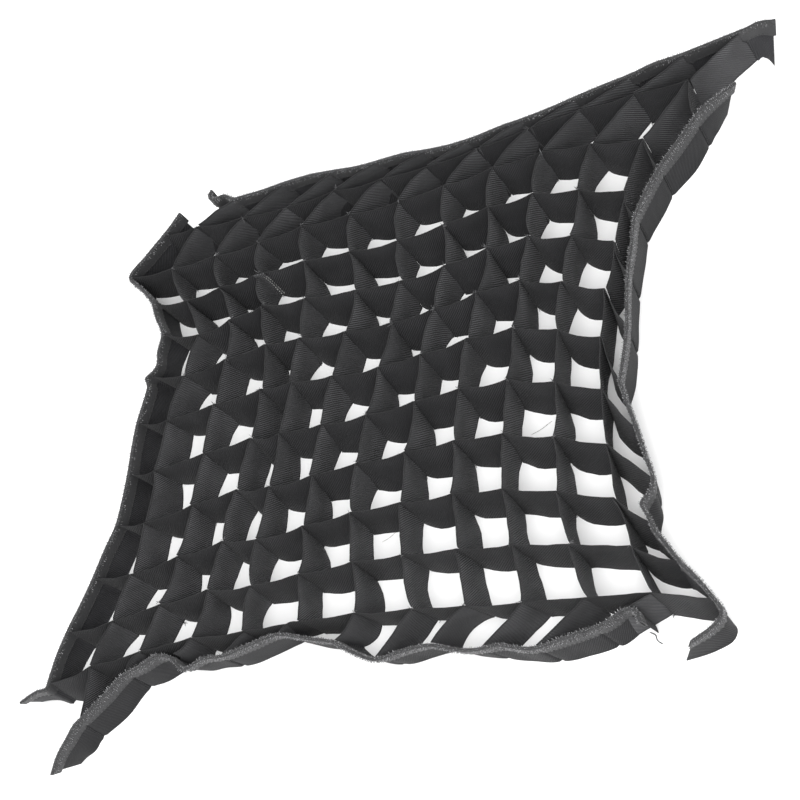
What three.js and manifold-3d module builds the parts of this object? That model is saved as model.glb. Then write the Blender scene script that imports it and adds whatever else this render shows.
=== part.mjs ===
// A fabric egg-crate grid for a square softbox, lying loose on a table. Interior ribbons run both ways on
// edge and cross at half-depth slits. Four border bands close the sides, each with hook tape folded over its
// top edge. The bands are not joined at the corners, so each ends in two short free tails that fold.
import * as THREE from "three";
import { mergeVertices } from "three/addons/utils/BufferGeometryUtils.js";
import Module from "manifold-3d";

const wasm = await Module();
wasm.setup();

// Driving dimensions, in millimetres. +X follows the row ribbons, +Y the column ribbons, +Z is up.
const LINES = 11; // interior ribbons each way, which makes 12 x 12 cells
const PITCH = 50; // length of ribbon between two crossings when the grid is pulled square
const DEPTH = 40; // width of a ribbon, which stands on edge
const THICKNESS = 0.6; // woven ribbon
const GAP = 0.3; // clearance between two pieces that touch
const SLIT = DEPTH / 2; // a slit reaches half-way through the ribbon
const TAPE_THICKNESS = 0.9; // hook tape, without its hooks
const TAPE_LEG = 12.5; // the 25 mm tape is folded in half over the band
const TAPE_OVERRUN = 2; // the tape sticks out past the end of the band
const HINGE_STEP = 4; // from the last crossing to the line a tail folds on
const BAND_RELIEF = 0.5; // from that line to each end of the band
const TAPE_RELIEF = 1.8; // from that line to each end of the tape, so that its thickness can turn
const BOW_SHARE = 0.25; // part of the spare length that bows sideways; the rest leans and twists
const LEAST_BOW = 2.5; // a flatter span stays straight
const BOW_SHAPE = 0.375; // rise squared over chord times spare length, for a shallow bow
const OVERSHOOT = 5; // how far a cutter passes the surface that it cuts
const SHARPEST_MITRE = 0.5; // a corner's mitre is no longer than this allows, as a share of its cosine
const SAME_POINT = 1e-4; // two vertices closer than this are one

// The lay of the grid: where its crossings lie as it rests, given at a few rows and columns and smooth
// between them. Row 1 is next to the front border, and column 1 is next to the left border.
const LAY_ROWS = [1, 3, 6, 8, 10, 11];
const LAY_COLUMNS = [1, 3, 4, 6, 9, 11];
const LAY = [
  [[-225, -242], [-137, -215], [-90, -208], [5, -190], [146, -178], [248, -168]],
  [[-205, -162], [-127, -132], [-95, -130], [-15, -106], [114, -85], [207, -92]],
  [[-204, -25], [-120, 3], [-93, 9], [-16, 21], [98, 54], [176, 44]],
  [[-192, 54], [-135, 80], [-95, 86], [-9, 99], [99, 136], [174, 128]],
  [[-232, 118], [-152, 140], [-112, 154], [-26, 173], [97, 213], [186, 220]],
  [[-215, 158], [-130, 173], [-87, 187], [-5, 205], [127, 251], [217, 272]],
];
const BORDER_LAYS = {
  front: {
    at: [1, 2, 3, 4, 5, 6, 7, 8, 9, 10, 11],
    points: [
      [-224, -288], [-190, -247], [-154, -231], [-109, -230], [-60, -210], [-10, -214],
      [28, -227], [73, -214], [115, -217], [160, -214], [206, -197],
    ],
  },
  back: {
    at: [1, 2, 4, 6, 8, 11],
    points: [[-181, 184], [-136, 197], [-50, 213], [35, 230], [124, 264], [257, 315]],
  },
  left: {
    at: [1, 2, 4, 6, 8, 9, 10, 11],
    points: [
      [-261, -258], [-254, -214], [-230, -119], [-232, -27], [-227, 56], [-245, 87], [-272, 110], [-248, 150],
    ],
  },
  right: {
    at: [1, 3, 4, 5, 6, 7, 8, 9, 10, 11],
    points: [
      [298, -172], [240, -112], [236, -76], [217, -35], [197, 6], [196, 53], [190, 100], [189, 150],
      [203, 192], [227, 236],
    ],
  },
};

// The free tails: "near" is at the low end of the border's line of crossings, "far" at the high end.
const TAILS = [
  { border: "front", end: "near", side: "left", points: [[-232, -304], [-238, -318], [-241, -331]] },
  { border: "front", end: "far", side: "right", points: [[221, -196], [234, -195], [243, -200], [247, -210]] },
  { border: "back", end: "near", side: "left", points: [[-196, 187], [-210, 184], [-217, 187], [-215, 193]] },
  { border: "back", end: "far", side: "right", points: [[271, 319], [286, 322]] },
  { border: "left", end: "near", side: "front", points: [[-271, -266], [-284, -274]] },
  { border: "left", end: "far", side: "back", points: [[-241, 162], [-237, 170]] },
  { border: "right", end: "near", side: "front", points: [[305, -177], [309, -185], [303, -193], [284, -205]] },
  { border: "right", end: "far", side: "back", points: [[240, 252], [255, 267]] },
];

const ribbonCloth = new THREE.MeshStandardMaterial({ color: 0x2b2b2c, roughness: 0.85, metalness: 0 });
const borderCloth = new THREE.MeshStandardMaterial({ color: 0x333334, roughness: 0.82, metalness: 0 });
const hookTape = new THREE.MeshStandardMaterial({ color: 0x454546, roughness: 0.95, metalness: 0 });

// A smooth value at t through the values given at the rising knots: a cubic with one slope at each knot.
function smooth(knots, values, t) {
  const last = knots.length - 1;
  const slope = (i) => {
    const low = Math.max(i - 1, 0), high = Math.min(i + 1, last);
    return (values[high] - values[low]) / (knots[high] - knots[low]);
  };
  const i = Math.min(Math.max(knots.findLastIndex((knot) => knot <= t), 0), last - 1);
  const step = knots[i + 1] - knots[i];
  const s = (t - knots[i]) / step;
  const s2 = s * s, s3 = s2 * s;
  return (
    (2 * s3 - 3 * s2 + 1) * values[i] + (s3 - 2 * s2 + s) * step * slope(i) +
    (3 * s2 - 2 * s3) * values[i + 1] + (s3 - s2) * step * slope(i + 1)
  );
}

function smoothPoint(knots, points, t) {
  return new THREE.Vector2(...[0, 1].map((axis) => smooth(knots, points.map((p) => p[axis]), t)));
}

function crossing(row, column) {
  const alongColumn = LAY.map((line) => smoothPoint(LAY_COLUMNS, line, column).toArray());
  return smoothPoint(LAY_ROWS, alongColumn, row);
}

function borderCrossing(border, line) {
  return smoothPoint(BORDER_LAYS[border].at, BORDER_LAYS[border].points, line);
}

// Which way and how strongly a span bows, from -1 to 1: a wave of its own for each ribbon. Rows all sag
// towards the front, columns lean either way except near the back, and the borders bow half as much.
const ROW_BOW = { mean: -0.75, swing: 0.25, byLine: 1.7, bySpan: 2.3, phase: 0 };
const COLUMN_BOW = { mean: 0, swing: 1, byLine: 2.1, bySpan: 1.3, phase: 2.5 };
const BORDER_BOW = { mean: 0, swing: 0.5, byLine: 2.4, bySpan: 2.9, phase: 0 };
const BACK_SPANS = LINES - 1; // from this span on, the columns all bow the same way
const BACK_BOW = 0.9;

function turnOf(bow, line, span) {
  return bow.mean + bow.swing * Math.sin(bow.byLine * line + bow.bySpan * span + bow.phase);
}

// Crossings in order, with the middle of each slack span moved sideways by its bow.
function bowedPath(crossings, turn) {
  const path = [crossings[0]];
  for (let span = 1; span < crossings.length; span++) {
    const start = crossings[span - 1], end = crossings[span];
    const along = end.clone().sub(start);
    const spare = Math.max(PITCH - along.length(), 0);
    const rise = BOW_SHARE * turn(span) * Math.sqrt(BOW_SHAPE * along.length() * spare);
    if (Math.abs(rise) > LEAST_BOW) {
      const left = new THREE.Vector2(-along.y, along.x).normalize();
      path.push(start.clone().add(end).multiplyScalar(0.5).addScaledVector(left, rise));
    }
    path.push(end);
  }
  return path;
}

function rowPath(row) {
  const inner = Array.from({ length: LINES }, (_, i) => crossing(row, i + 1));
  const all = [borderCrossing("left", row), ...inner, borderCrossing("right", row)];
  return bowedPath(all, (span) => turnOf(ROW_BOW, row, span));
}

function columnPath(column) {
  const inner = Array.from({ length: LINES }, (_, i) => crossing(i + 1, column));
  const all = [borderCrossing("front", column), ...inner, borderCrossing("back", column)];
  return bowedPath(all, (span) => (span < BACK_SPANS ? turnOf(COLUMN_BOW, column, span) : BACK_BOW));
}

function borderPath(border) {
  const line = Object.keys(BORDER_LAYS).indexOf(border);
  const marks = Array.from({ length: LINES }, (_, i) => borderCrossing(border, i + 1));
  return bowedPath(marks, (span) => turnOf(BORDER_BOW, line, span));
}

// The point at a distance from one point towards another, or away from it if the distance is negative.
function stepped(from, towards, distance) {
  return from.clone().add(towards.clone().sub(from).setLength(distance));
}

// The path made longer at both ends by a distance, or shorter if it is negative.
function stretched(path, distance) {
  const first = stepped(path[0], path[1], -distance);
  const last = stepped(path.at(-1), path.at(-2), -distance);
  return [first, ...path.slice(1, -1), last];
}

// The line beside a path, to its left at an even offset, with mitred corners.
function sideLine(path, offset) {
  return path.map((point, i) => {
    const before = path[Math.max(i - 1, 0)], after = path[Math.min(i + 1, path.length - 1)];
    const back = point.clone().sub(i ? before : point).normalize();
    const ahead = after.clone().sub(point).normalize();
    const run = back.add(ahead).normalize();
    const leg = i < path.length - 1 ? after.clone().sub(point) : point.clone().sub(before);
    const mitre = offset / Math.max(run.dot(leg.normalize()), SHARPEST_MITRE);
    return new THREE.Vector2(point.x - run.y * mitre, point.y + run.x * mitre);
  });
}

// A wall of even thickness that stands on a path between two heights.
function wall(path, thickness, low, high) {
  const outline = [...sideLine(path, -thickness / 2), ...sideLine(path, thickness / 2).reverse()];
  const settings = { depth: high - low, bevelEnabled: false };
  const geometry = new THREE.ExtrudeGeometry(new THREE.Shape(outline), settings);
  geometry.translate(0, 0, low);
  geometry.deleteAttribute("normal");
  geometry.deleteAttribute("uv");
  const merged = mergeVertices(geometry, SAME_POINT);
  return new wasm.Manifold(
    new wasm.Mesh({
      numProp: 3,
      vertProperties: merged.attributes.position.array,
      triVerts: new Uint32Array(merged.index.array),
    }),
  );
}

function named(name, solid, material) {
  const { vertProperties, triVerts } = solid.getMesh();
  const geometry = new THREE.BufferGeometry();
  geometry.setAttribute("position", new THREE.BufferAttribute(vertProperties, 3));
  geometry.setIndex(new THREE.BufferAttribute(triVerts, 1));
  geometry.computeVertexNormals();
  const mesh = new THREE.Mesh(geometry, material);
  mesh.name = name;
  return mesh;
}

const cutAll = (solid, cutters) => cutters.reduce((left, cutter) => left.subtract(cutter), solid);

// What one ribbon leaves clear of the ribbon that it crosses, over half the depth.
const slitCutter = (path, low, high) => wall(path, THICKNESS + 2 * GAP, low, high);

const TAPE_INSIDE = THICKNESS + 2 * GAP;
const TAPE_OUTSIDE = TAPE_INSIDE + 2 * TAPE_THICKNESS;

// A band of hook tape folded over the top edge of a border band that stands on the same path.
function foldedTape(path) {
  const top = DEPTH + GAP + TAPE_THICKNESS;
  return wall(path, TAPE_OUTSIDE, DEPTH - TAPE_LEG, top).subtract(
    wall(stretched(path, OVERSHOOT), TAPE_INSIDE, DEPTH - TAPE_LEG - OVERSHOOT, DEPTH + GAP),
  );
}

function interiorRibbons() {
  const rows = Array.from({ length: LINES }, (_, i) => rowPath(i + 1));
  const columns = Array.from({ length: LINES }, (_, i) => columnPath(i + 1));
  const borders = Object.keys(BORDER_LAYS).map(borderPath);
  const ends = borders.flatMap((path) => {
    const long = stretched(path, HINGE_STEP);
    return [
      wall(long, TAPE_INSIDE, -OVERSHOOT, DEPTH + OVERSHOOT),
      wall(long, TAPE_OUTSIDE + 2 * GAP, DEPTH - TAPE_LEG - GAP, DEPTH + OVERSHOOT),
    ];
  });
  const middle = SLIT + GAP / 2;
  const rowSlits = columns.map((path) => slitCutter(path, -OVERSHOOT, middle));
  const columnSlits = rows.map((path) => slitCutter(path, DEPTH - middle, DEPTH + OVERSHOOT));
  const make = (kind, paths, slits) =>
    paths.map((path, i) => {
      const solid = cutAll(wall(path, THICKNESS, 0, DEPTH), [...slits, ...ends]);
      return named(`${kind}_ribbon_${String(i + 1).padStart(2, "0")}`, solid, ribbonCloth);
    });
  return [...make("row", rows, rowSlits), ...make("column", columns, columnSlits)];
}

// Where a tail folds: a short step from the border's last crossing, in line with the band.
function foldPoint(tail) {
  const path = borderPath(tail.border);
  const [last, before] = tail.end === "near" ? [path[0], path[1]] : [path.at(-1), path.at(-2)];
  return stepped(last, before, -HINGE_STEP);
}

function borderBand(border) {
  const inner = borderPath(border);
  const tails = TAILS.filter((tail) => tail.border === border);
  const path = [foldPoint(tails[0]), ...inner, foldPoint(tails[1])];
  return [
    named(`${border}_border`, wall(stretched(path, -BAND_RELIEF), THICKNESS, 0, DEPTH), borderCloth),
    named(`${border}_hook_tape`, foldedTape(stretched(path, -TAPE_RELIEF)), hookTape),
  ];
}

function freeTail(tail) {
  const fold = foldPoint(tail);
  const path = [fold, ...tail.points.map((p) => new THREE.Vector2(...p))];
  const bandPath = [stepped(path[0], path[1], BAND_RELIEF), ...path.slice(1)];
  const tapeEnd = stepped(path.at(-1), path.at(-2), -TAPE_OVERRUN);
  const tapePath = [stepped(path[0], path[1], TAPE_RELIEF), ...path.slice(1, -1), tapeEnd];
  return [
    named(`${tail.border}_border_${tail.side}_tail`, wall(bandPath, THICKNESS, 0, DEPTH), borderCloth),
    named(`${tail.border}_hook_tape_${tail.side}_tail`, foldedTape(tapePath), hookTape),
  ];
}

const grid = new THREE.Group();
grid.add(...interiorRibbons());
for (const border of Object.keys(BORDER_LAYS)) grid.add(...borderBand(border));
for (const tail of TAILS) grid.add(...freeTail(tail));

// The origin is under the middle of the grid, on the surface that it rests on.
const middle = new THREE.Box3().setFromObject(grid).getCenter(new THREE.Vector3());
grid.position.set(-middle.x, -middle.y, 0);

const part = new THREE.Group();
part.add(grid);
export default part;
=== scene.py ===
"""Looks of a fabric egg-crate grid for a softbox, lying loose on a pale table, built around its frame."""
import logging
import math
from collections.abc import Callable, Iterable
from dataclasses import dataclass, field
from enum import Enum

import bpy
import numpy as np
from mathutils import Matrix, Vector


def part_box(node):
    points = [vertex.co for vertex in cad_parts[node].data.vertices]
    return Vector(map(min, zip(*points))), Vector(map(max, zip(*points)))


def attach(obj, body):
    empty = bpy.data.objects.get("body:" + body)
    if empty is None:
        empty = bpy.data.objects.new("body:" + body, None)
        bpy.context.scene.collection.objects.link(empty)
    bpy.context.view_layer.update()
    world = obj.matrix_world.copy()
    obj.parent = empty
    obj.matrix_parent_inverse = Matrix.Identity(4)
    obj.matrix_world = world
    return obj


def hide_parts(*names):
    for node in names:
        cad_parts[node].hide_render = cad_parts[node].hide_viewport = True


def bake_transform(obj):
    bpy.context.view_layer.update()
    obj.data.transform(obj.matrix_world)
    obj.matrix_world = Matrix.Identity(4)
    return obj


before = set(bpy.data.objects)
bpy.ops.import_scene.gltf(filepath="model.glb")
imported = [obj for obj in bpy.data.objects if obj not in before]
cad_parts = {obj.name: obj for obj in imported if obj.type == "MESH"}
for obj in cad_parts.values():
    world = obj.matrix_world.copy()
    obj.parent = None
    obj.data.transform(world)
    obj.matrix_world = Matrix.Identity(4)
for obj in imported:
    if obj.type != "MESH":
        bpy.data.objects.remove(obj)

log = logging.getLogger("softbox_grid")

MM = 0.001
Route = tuple[tuple[float, float], ...]  # points of a line in the lay, in mm
LINES = 11  # interior ribbons each way
SPANS = LINES + 1  # lengths of ribbon between two crossings, border to border
PITCH = 50.0  # mm of ribbon from one crossing to the next
DEPTH = 40.0  # mm, the width of a ribbon, which stands on edge
SLIT = DEPTH / 2
HINGE_STEP = 4.0  # mm from a border's last crossing to the line its tail folds on
BOW_SHARE = 0.25  # part of a span's spare length that bows sideways
BOW_SHAPE = 0.375  # rise squared over chord times spare length, for a shallow bow
REVERSE = 7.0  # the weave attribute's third value on the reverse of a cloth; it is 0 on its face
WEAVE_APART = 700  # mm of weave from one ribbon's to the next one's, so that no two are worn alike
BACK_BOW = 0.9  # how the two spans nearest the back border bow, in every column ribbon

# Where the crossings lie, in mm, at a few rows and columns. It is smooth between them.
LAY_ROWS = (1, 3, 6, 8, 10, 11)
LAY_COLUMNS = (1, 3, 4, 6, 9, 11)
LAY_NET = (
    ((-225, -242), (-137, -215), (-90, -208), (5, -190), (146, -178), (248, -168)),
    ((-205, -162), (-127, -132), (-95, -130), (-15, -106), (114, -85), (207, -92)),
    ((-204, -25), (-120, 3), (-93, 9), (-16, 21), (98, 54), (176, 44)),
    ((-192, 54), (-135, 80), (-95, 86), (-9, 99), (99, 136), (174, 128)),
    ((-232, 118), (-152, 140), (-112, 154), (-26, 173), (97, 213), (186, 220)),
    ((-215, 158), (-130, 173), (-87, 187), (-5, 205), (127, 251), (217, 272)),
)

# How far the cloth's lower edge lies from under its upper edge, in mm, at every fourth line both ways: from
# the
# front border to the back, and from the left border to the right. The borders are tucked in. Smooth between
# them.
LEAN_LINES = (0, 4, 8, 12)
LEAN_NET = (
    ((1, -3), (3, 6), (10, 9), (6, -4)),
    ((5, 5), (0, -5), (3, -6), (-5, -9)),
    ((4, 4), (4, -5), (2, -6), (-3, -5)),
    ((2, -4), (3, 3), (3, -2), (2, -4)),
)


class Side(Enum):
    """The four sides of the grid."""

    FRONT = "front"
    BACK = "back"
    LEFT = "left"
    RIGHT = "right"


class Run(Enum):
    """The two ways an interior ribbon runs."""

    ROW = "row"
    COLUMN = "column"


class End(Enum):
    """The two ends of a border band, by the count of its crossings."""

    NEAR = 1
    FAR = LINES


BORDER_LAYS = {
    Side.FRONT: (
        (1, 2, 3, 4, 5, 6, 7, 8, 9, 10, 11),
        ((-224, -288), (-190, -247), (-154, -231), (-109, -230), (-60, -210), (-10, -214), (28, -227),
         (73, -214), (115, -217), (160, -214), (206, -197)),
    ),
    Side.BACK: (
        (1, 2, 4, 6, 8, 11),
        ((-181, 184), (-136, 197), (-50, 213), (35, 230), (124, 264), (257, 315)),
    ),
    Side.LEFT: (
        (1, 2, 4, 6, 8, 9, 10, 11),
        ((-261, -258), (-254, -214), (-230, -119), (-232, -27), (-227, 56), (-245, 87),
         (-272, 110), (-248, 150)),
    ),
    Side.RIGHT: (
        (1, 3, 4, 5, 6, 7, 8, 9, 10, 11),
        ((298, -172), (240, -112), (236, -76), (217, -35), (197, 6), (196, 53), (190, 100), (189, 150),
         (203, 192), (227, 236)),
    ),
}


# The last two points of the tail at the back on the right when it stands upright, as it does in the frame.
BACK_RIGHT_END = ((271, 319), (286, 322))


@dataclass(frozen=True)
class BowWave:
    """Which way and how strongly the spans of a ribbon bow, as a wave over its number and its spans."""

    mean: float
    swing: float
    by_line: float
    by_span: float
    phase: float = 0.0

    def turn(self, line: int, span: int) -> float:
        """Says how a span bows, from -1 to 1."""
        return self.mean + self.swing * math.sin(self.by_line * line + self.by_span * span + self.phase)


ROW_BOW = BowWave(-0.75, 0.25, 1.7, 2.3)
COLUMN_BOW = BowWave(0.0, 1.0, 2.1, 1.3, 2.5)
BORDER_BOW = BowWave(0.0, 0.5, 2.4, 2.9)


def column_turn(number: int, span: int) -> float:
    """Says how a column ribbon's span bows, from -1 to 1. Those nearest the back border all bow one way."""
    return COLUMN_BOW.turn(number, span) if span < LINES - 1 else BACK_BOW


@dataclass(frozen=True)
class Push:
    """A place where a band's upper edge is pushed in or out: its count of crossings, and mm outwards and
    along."""

    side: Side
    line: float
    outwards: float
    reach: float = 12.0


PUSHES = (
    Push(Side.FRONT, 2.65, -5),
    Push(Side.FRONT, 3.35, 12),
    Push(Side.FRONT, 9.3, -3),
    Push(Side.RIGHT, 3.45, -9, 9),
    Push(Side.LEFT, 6.95, 5, 5),
    Push(Side.LEFT, 7.3, -3, 8),
    Push(Side.BACK, 9.4, 2, 16),
)


@dataclass(frozen=True)
class Tail:
    """The free end of a border band: its side, the line of its upper edge in mm, and its lean in mm."""

    side: Side
    end: End
    towards: Side
    points: tuple[tuple[float, float], ...]
    lean: tuple[float, float] = (0.0, 0.0)  # its lower corner, seen from under its upper corner

    @property
    def body(self) -> str:
        """The name of a body for the tail."""
        return f"{self.side.value}_{self.towards.value}_tail"

    @property
    def outward(self) -> float:
        """1 where the left of the line from the band's middle to this end faces out of the grid, else -1."""
        left_is_out = (self.side in (Side.FRONT, Side.RIGHT)) == (self.end is End.NEAR)
        return 1.0 if left_is_out else -1.0


TAILS = (
    Tail(Side.FRONT, End.NEAR, Side.LEFT, ((-232, -304), (-238, -318), (-241, -331)), lean=(1, 18)),
    Tail(Side.FRONT, End.FAR, Side.RIGHT, ((219, -190), (229, -182), (237, -182), (242, -190)), lean=(1, 4)),
    Tail(Side.BACK, End.NEAR, Side.LEFT, ((-196, 187), (-206, 184), (-211, 187), (-210, 191)), lean=(2, -4)),
    Tail(Side.BACK, End.FAR, Side.RIGHT, ((269, 322), (280, 326)), lean=(-6, -22)),
    Tail(Side.LEFT, End.NEAR, Side.FRONT, ((-271, -266), (-284, -274)), lean=(-7, 12)),
    Tail(Side.LEFT, End.FAR, Side.BACK, ((-241, 162), (-237, 170)), lean=(4, -2)),
    Tail(
        Side.RIGHT, End.NEAR, Side.FRONT, ((302, -176), (305, -184), (299, -193), (285, -203)), lean=(-17, -4)
    ),
    Tail(Side.RIGHT, End.FAR, Side.BACK, ((240, 252), (255, 267)), lean=(-16, -6)),
)


def smooth(knots: Iterable[float], values: Iterable[Iterable[float]], at: float) -> np.ndarray:
    """Reads a smooth value through values given at rising knots, a cubic with one slope at each knot.

    Args:
        knots: where the values are given.
        values: one point for each knot.
        at: where to read.

    Returns:
        The point there.
    """
    k, v = np.asarray(knots, float), np.asarray(values, float)
    last = len(k) - 1
    i = min(max(int(np.searchsorted(k, at, side="right")) - 1, 0), last - 1)

    def slope(n: int) -> np.ndarray:
        """The slope at knot n, from its neighbours."""
        low, high = max(n - 1, 0), min(n + 1, last)
        return (v[high] - v[low]) / (k[high] - k[low])

    step = k[i + 1] - k[i]
    s = (at - k[i]) / step
    s2, s3 = s * s, s**3
    near = (2 * s3 - 3 * s2 + 1) * v[i] + (s3 - 2 * s2 + s) * step * slope(i)
    return near + (3 * s2 - 2 * s3) * v[i + 1] + (s3 - s2) * step * slope(i + 1)


def ease(share: np.ndarray) -> np.ndarray:
    """Turns a share from 0 to 1 into one that starts and stops gently."""
    t = np.clip(share, 0, 1)
    return t * t * (3 - 2 * t)


@dataclass(frozen=True)
class Line:
    """A smooth line on the table through given points, in metres, measured along its own length."""

    points: np.ndarray
    lengths: np.ndarray
    marks: np.ndarray

    @classmethod
    def through(cls, given: np.ndarray, steps: int = 14) -> "Line":
        """Draws the line.

        Args:
            given: the points, (n, 2).
            steps: short straight pieces between two points.

        Returns:
            The line. Its marks are the lengths at which it passes the given points.
        """
        gaps = np.maximum(np.linalg.norm(np.diff(given, axis=0), axis=1), 1e-9)
        rates = np.diff(given, axis=0) / gaps[:, None]
        inner = (rates[:-1] * gaps[1:, None] + rates[1:] * gaps[:-1, None]) / (gaps[:-1] + gaps[1:])[:, None]
        slopes = np.vstack([rates[:1], inner, rates[-1:]])
        t = np.linspace(0, 1, steps, endpoint=False)[:, None]
        pieces = [
            (2 * t**3 - 3 * t**2 + 1) * given[i] + (t**3 - 2 * t**2 + t) * gap * slopes[i]
            + (3 * t**2 - 2 * t**3) * given[i + 1] + (t**3 - t**2) * gap * slopes[i + 1]
            for i, gap in enumerate(gaps)
        ]
        dense = np.vstack([*pieces, given[-1:]])
        lengths = np.concatenate([[0.0], np.cumsum(np.linalg.norm(np.diff(dense, axis=0), axis=1))])
        return cls(dense, lengths, lengths[::steps])

    @classmethod
    def arched(cls, marks: np.ndarray, rises: Iterable[float], steps: int = 14) -> "Line":
        """Draws a line that arches from mark to mark, with a crease at each.

        Args:
            marks: the points that it arches between, (n, 2).
            rises: how far each arch's middle stands to the left of its chord.
            steps: short straight pieces in each arch.

        Returns:
            The line. Its marks are the lengths at which it passes the given points.
        """
        t = np.linspace(0, 1, steps, endpoint=False)[:, None]
        arches = []
        for start, end, rise in zip(marks, marks[1:], rises):
            run = end - start
            left = np.array([-run[1], run[0]]) / np.linalg.norm(run)
            arches.append(start + t * run + 4 * rise * t * (1 - t) * left)
        dense = np.vstack([*arches, marks[-1:]])
        lengths = np.concatenate([[0.0], np.cumsum(np.linalg.norm(np.diff(dense, axis=0), axis=1))])
        return cls(dense, lengths, lengths[::steps])

    def at(self, s: np.ndarray) -> np.ndarray:
        """The points at lengths s, past the ends too, in line with them."""
        held = np.clip(s, 0, self.lengths[-1])
        found = np.stack([np.interp(held, self.lengths, self.points[:, a]) for a in (0, 1)], -1)
        return found + self.along(s) * (s - held)[..., None]

    def along(self, s: np.ndarray) -> np.ndarray:
        """The line's direction at lengths s."""
        middle = (self.lengths[1:] + self.lengths[:-1]) / 2
        run = np.diff(self.points, axis=0)
        found = np.stack([np.interp(s, middle, run[:, a]) for a in (0, 1)], -1)
        return found / np.maximum(np.linalg.norm(found, axis=-1, keepdims=True), 1e-12)

    def left(self, s: np.ndarray) -> np.ndarray:
        """The direction to the left of the line at lengths s."""
        run = self.along(s)
        return np.stack([-run[..., 1], run[..., 0]], -1)


@dataclass
class Lay:
    """How the whole grid lies on the table."""

    offset: np.ndarray = field(default_factory=lambda: np.zeros(2))

    def settle(self) -> None:
        """Finds where the frame's origin is in the lay, from the end of the tail at the back on the right."""
        before, end = (np.array(p) * MM for p in BACK_RIGHT_END)
        run = (end - before) / np.linalg.norm(end - before)
        half = 0.3 * MM
        corner = end + half * np.array([run[1], run[0]])
        _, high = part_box("back_border_right_tail")
        self.offset = np.array([high.x, high.y]) - corner

    def crossing(self, row: float, column: float) -> np.ndarray:
        """Where a row ribbon crosses a column ribbon, in mm of the lay."""
        return smooth(LAY_ROWS, [smooth(LAY_COLUMNS, line, column) for line in LAY_NET], row)

    def edge(self, side: Side, line: float) -> np.ndarray:
        """Where an interior ribbon ends on a border, in mm of the lay."""
        return smooth(*BORDER_LAYS[side], line)

    def frame_points(self, points: Iterable[Iterable[float]]) -> np.ndarray:
        """Points of the lay in mm, as points of the frame in metres."""
        return np.asarray(points, float) * MM + self.offset

    def rises(self, marks: list[np.ndarray], turn: Callable[[int], float]) -> list[float]:
        """Says how far the middle of each span bows to the left.

        Args:
            marks: the crossings in order.
            turn: how span number n bows, from -1 to 1.

        Returns:
            The rise of each span in mm.
        """
        chords = [float(np.linalg.norm(end - start)) for start, end in zip(marks, marks[1:])]
        return [
            BOW_SHARE * turn(span) * math.sqrt(BOW_SHAPE * chord * max(PITCH - chord, 0))
            for span, chord in enumerate(chords, 1)
        ]

    def ribbon(self, run: Run, number: int) -> tuple[list[np.ndarray], list[float]]:
        """The crossings of an interior ribbon from border to border, and the rises of its spans."""
        counted = range(1, LINES + 1)
        if run is Run.ROW:
            inner = [self.crossing(number, n) for n in counted]
            marks = [self.edge(Side.LEFT, number), *inner, self.edge(Side.RIGHT, number)]
            return marks, self.rises(marks, lambda span: ROW_BOW.turn(number, span))
        inner = [self.crossing(n, number) for n in counted]
        marks = [self.edge(Side.FRONT, number), *inner, self.edge(Side.BACK, number)]
        return marks, self.rises(marks, lambda span: column_turn(number, span))

    def border(self, side: Side) -> list[np.ndarray]:
        """The crossings of a border band in order, with the bowed middle of each span between them."""
        marks = [self.edge(side, n) for n in range(1, LINES + 1)]
        line = list(BORDER_LAYS).index(side)
        path = [marks[0]]
        for start, end, rise in zip(
            marks, marks[1:], self.rises(marks, lambda span: BORDER_BOW.turn(line, span))
        ):
            run = end - start
            left = np.array([-run[1], run[0]]) / np.linalg.norm(run)
            path += [(start + end) / 2 + left * rise, end]
        return path

    def fold(self, tail: Tail) -> np.ndarray:
        """Where a tail folds, in mm of the lay: a step past the last crossing, in line with the band."""
        path = self.border(tail.side)
        last, before = (path[0], path[1]) if tail.end is End.NEAR else (path[-1], path[-2])
        return last + HINGE_STEP * (last - before) / np.linalg.norm(last - before)

    def lean(self, row: float, column: float) -> np.ndarray:
        """How far the cloth's lower edge lies from under its upper edge, in mm, at a row and a column."""
        return smooth(LEAN_LINES, [smooth(LEAN_LINES, line, column) for line in LEAN_NET], row)


# --------------------------------------------------------------------------------------------------- finishes


def linear(colour: str) -> tuple[float, float, float, float]:
    """Turns an sRGB hex colour such as "#2b2b2c" into the linear colour that a shader reads."""
    parts = [int(colour[i : i + 2], 16) / 255 for i in (1, 3, 5)]
    return (*[p / 12.92 if p <= 0.04045 else ((p + 0.055) / 1.055) ** 2.4 for p in parts], 1.0)


def add_node(
    tree: bpy.types.NodeTree, kind: str, settings: dict | None = None, links: dict | None = None
) -> bpy.types.Node:
    """Adds a node to a tree.

    Args:
        tree: the material's node tree.
        kind: the node's type, such as "ShaderNodeBump".
        settings: values for its properties, or for its input sockets by name or number.
        links: the output socket that feeds each of its inputs, by name or number.

    Returns:
        The node.
    """
    made = tree.nodes.new(kind)
    for key, value in (settings or {}).items():
        if isinstance(key, str) and hasattr(made, key):
            setattr(made, key, value)
        else:
            made.inputs[key].default_value = value
    for key, socket in (links or {}).items():
        tree.links.new(socket, made.inputs[key])
    return made


def new_material(name: str) -> tuple[bpy.types.Material, bpy.types.NodeTree, bpy.types.Node]:
    """Makes a material with only a Principled shader, and returns it with its tree and that shader."""
    made = bpy.data.materials.new(name)
    made.use_nodes = True
    tree = made.node_tree
    return made, tree, next(n for n in tree.nodes if n.type == "BSDF_PRINCIPLED")


def wave_scale(pitch: float) -> float:
    """The scale of a wave texture whose bands are to be one pitch apart."""
    return 2 * math.pi / (20 * pitch)


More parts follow.
